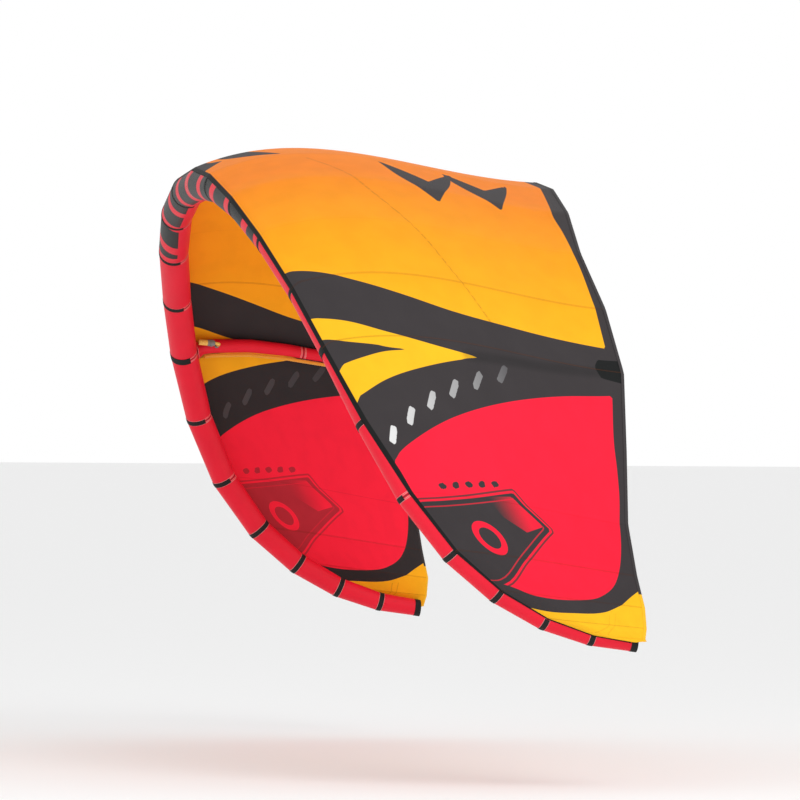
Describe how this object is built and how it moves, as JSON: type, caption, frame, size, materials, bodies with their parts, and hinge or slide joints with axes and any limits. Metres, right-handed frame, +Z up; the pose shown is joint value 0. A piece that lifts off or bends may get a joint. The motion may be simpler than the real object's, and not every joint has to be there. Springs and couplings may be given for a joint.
{
  "type": "inflatable kite",
  "caption": "Inflatable leading edge kite with an arched red tube, inflated struts and an orange and red canopy.",
  "frame": {"origin": "middle of the leading edge, on the centre line of its tube", "axes": "+X across the span to the right tip, +Y from the leading edge back to the trailing edge, +Z up to the top of the arch"},
  "size_m": [4.838, 1.7002, 2.3011],
  "materials": {
    "tube_red": "woven polyester, satin",
    "canopy_orange": "ripstop, satin",
    "canopy_red": "ripstop, satin",
    "trim_black": "webbing, matte",
    "film_orange": "smooth film",
    "hose_yellow": "smooth",
    "fitting_grey": "moulded, matte",
    "rope_orange": "braided"
  },
  "bodies": {
    "kite": {"canopy_left_1": "canopy_orange", "canopy_left_2": "canopy_orange", "canopy_left_3": "canopy_red", "canopy_left_4": "canopy_orange", "le_sleeve_left_1": "tube_red", "le_sleeve_left_2": "tube_red", "le_sleeve_left_3": "tube_red", "le_sleeve_left_4": "tube_red", "le_sleeve_left_5": "tube_red", "le_sleeve_left_6": "tube_red", "tip_collar_left": "trim_black", "trailing_hem_left": "trim_black", "grab_rope_left": "rope_orange", "canopy_right_1": "canopy_orange", "canopy_right_2": "canopy_orange", "canopy_right_3": "canopy_red", "canopy_right_4": "canopy_orange", "le_sleeve_right_1": "tube_red", "le_sleeve_right_2": "tube_red", "le_sleeve_right_3": "tube_red", "le_sleeve_right_4": "tube_red", "le_sleeve_right_5": "tube_red", "le_sleeve_right_6": "tube_red", "tip_collar_right": "trim_black", "trailing_hem_right": "trim_black", "grab_rope_right": "rope_orange", "le_bladder": "film_orange", "strut_sleeve_centre": "tube_red", "strut_bladder_centre": "film_orange", "strut_cap_centre": "trim_black", "hose_wide_centre": "hose_yellow", "hose_lock_body_centre": "fitting_grey", "hose_narrow_centre": "hose_yellow", "hose_elbow_centre": "fitting_grey", "strut_sleeve_left": "tube_red", "strut_bladder_left": "film_orange", "strut_cap_left": "trim_black", "hose_wide_left": "hose_yellow", "hose_lock_body_left": "fitting_grey", "hose_narrow_left": "hose_yellow", "hose_elbow_left": "fitting_grey", "strut_sleeve_right": "tube_red", "strut_bladder_right": "film_orange", "strut_cap_right": "trim_black", "hose_wide_right": "hose_yellow", "hose_lock_body_right": "fitting_grey", "hose_narrow_right": "hose_yellow", "hose_elbow_right": "fitting_grey", "inflate_valve_base": "fitting_grey", "deflate_valve_base": "fitting_grey"},
    "inflate_ring": {"inflate_valve_ring": "fitting_grey"},
    "inflate_cap": {"inflate_valve_cap": "fitting_grey"},
    "deflate_ring": {"deflate_valve_ring": "fitting_grey"},
    "deflate_cap": {"deflate_valve_cap": "fitting_grey"},
    "collar_centre": {"hose_lock_collar_centre": "fitting_grey"},
    "collar_left": {"hose_lock_collar_left": "fitting_grey"},
    "collar_right": {"hose_lock_collar_right": "fitting_grey"}
  },
  "joints": [
    {"name": "inflate_ring_swivel", "type": "hinge", "parent": "kite", "child": "inflate_ring", "pos_m": [1.06743, 0.06281, -0.28462], "axis": [-0.3925, 0, -0.9197], "range_deg": [-180, 180]},
    {"name": "inflate_cap_flip", "type": "hinge", "parent": "inflate_ring", "child": "inflate_cap", "pos_m": [1.08494, 0.06583, -0.30296], "axis": [0.1183, -0.9917, -0.0505], "range_deg": [0, 150]},
    {"name": "deflate_ring_swivel", "type": "hinge", "parent": "kite", "child": "deflate_ring", "pos_m": [2.2811, 1.24504, -2.0156], "axis": [-0.9981, 0, 0.0609], "range_deg": [-180, 180]},
    {"name": "deflate_cap_flip", "type": "hinge", "parent": "deflate_ring", "child": "deflate_cap", "pos_m": [2.27065, 1.26728, -2.02256], "axis": [-0.0577, -0.3227, -0.9447], "range_deg": [0, 150]},
    {"name": "collar_centre_turn", "type": "hinge", "parent": "kite", "child": "collar_centre", "pos_m": [0.06, 0.12739, 0.022], "axis": [0, 1, 0], "range_deg": [0, 90]},
    {"name": "collar_left_turn", "type": "hinge", "parent": "kite", "child": "collar_left", "pos_m": [-1.91394, 0.38915, -0.74598], "axis": [-0.0548, 0.9966, -0.0614], "range_deg": [0, 90]},
    {"name": "collar_right_turn", "type": "hinge", "parent": "kite", "child": "collar_right", "pos_m": [1.91394, 0.38915, -0.74598], "axis": [0.0548, 0.9966, -0.0614], "range_deg": [0, 90]}
  ]
}
